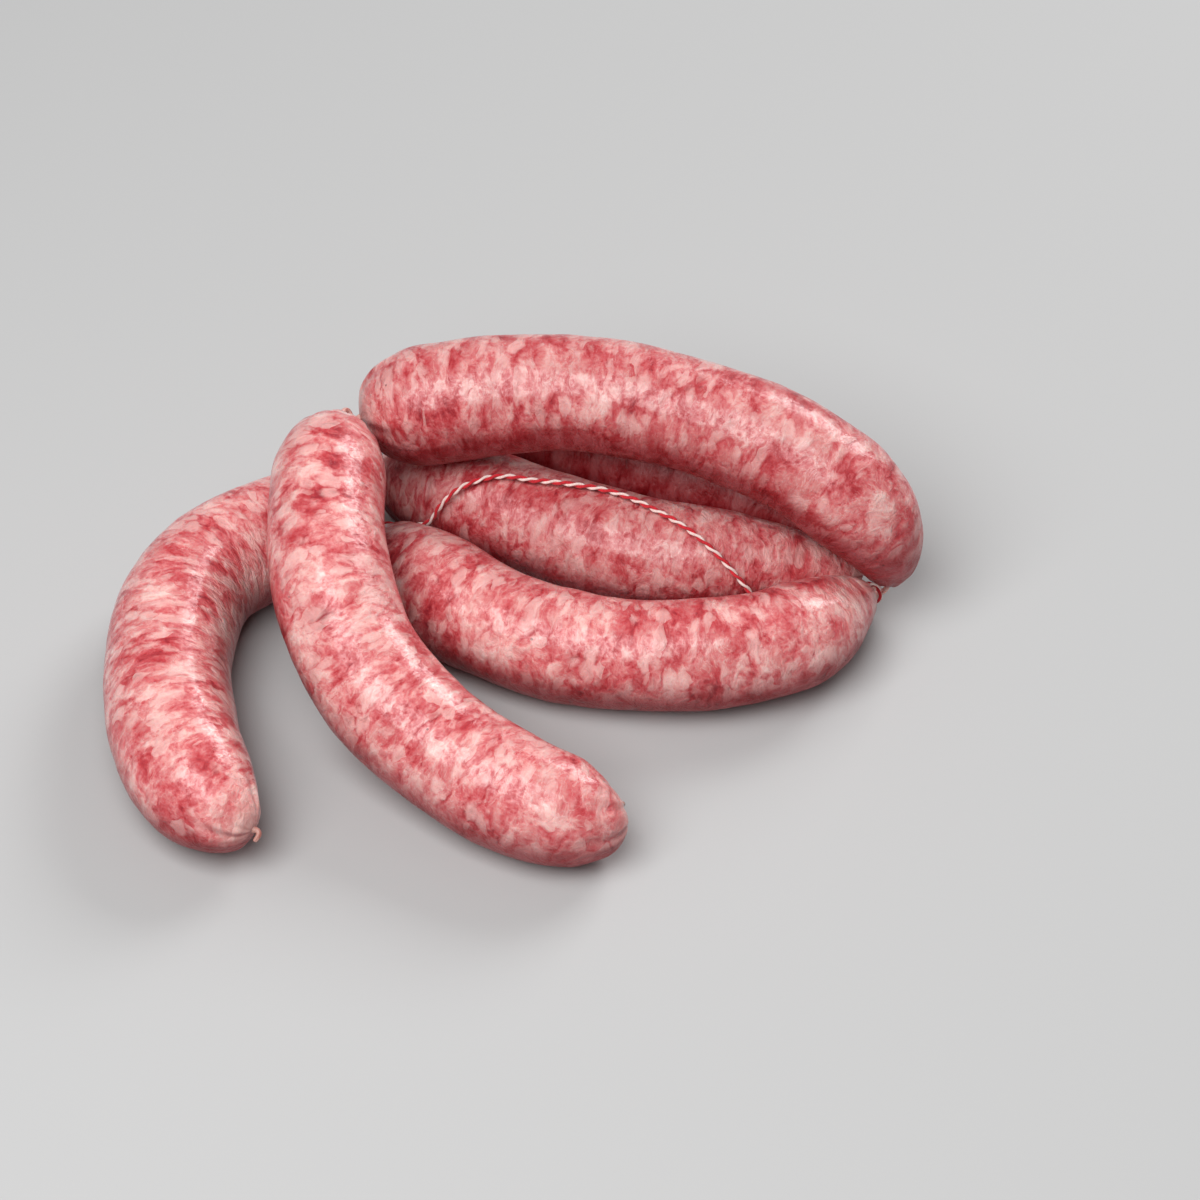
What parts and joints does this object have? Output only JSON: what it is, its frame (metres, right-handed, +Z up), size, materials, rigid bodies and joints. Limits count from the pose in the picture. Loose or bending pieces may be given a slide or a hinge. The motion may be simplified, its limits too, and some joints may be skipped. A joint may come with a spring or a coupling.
{
  "type": "string of sausage links",
  "caption": "String of plump, bent fresh sausage links in natural casing, folded to and fro and heaped, with a loose red and white twine tied at some of the joins.",
  "frame": {"origin": "middle of the heap's bounding box, on the surface that the links lie on", "axes": "+Z up; +X to the right along the two joined links that cross the heap; +Y to the back; the two free ends lie at the front, to -Y"},
  "size_m": [0.2159, 0.1824, 0.067],
  "materials": {
    "filled_casing": "moist translucent casing over coarse pink and white ground pork",
    "empty_casing": "moist, wrinkled, pale pink empty casing",
    "twine": "two-ply cotton twine, one ply white and one ply red"
  },
  "bodies": {
    "root": {"link_1": "filled_casing", "link_2": "filled_casing", "link_3": "filled_casing", "link_4": "filled_casing", "link_5": "filled_casing", "link_6": "filled_casing", "twist_1_2": "empty_casing", "twist_2_3": "empty_casing", "twist_3_4": "empty_casing", "twist_4_5": "empty_casing", "twist_5_6": "empty_casing", "free_end_1": "empty_casing", "free_end_6": "empty_casing", "tie_3_4": "twine", "tie_4_5": "twine", "twine_span": "twine"}
  },
  "joints": []
}
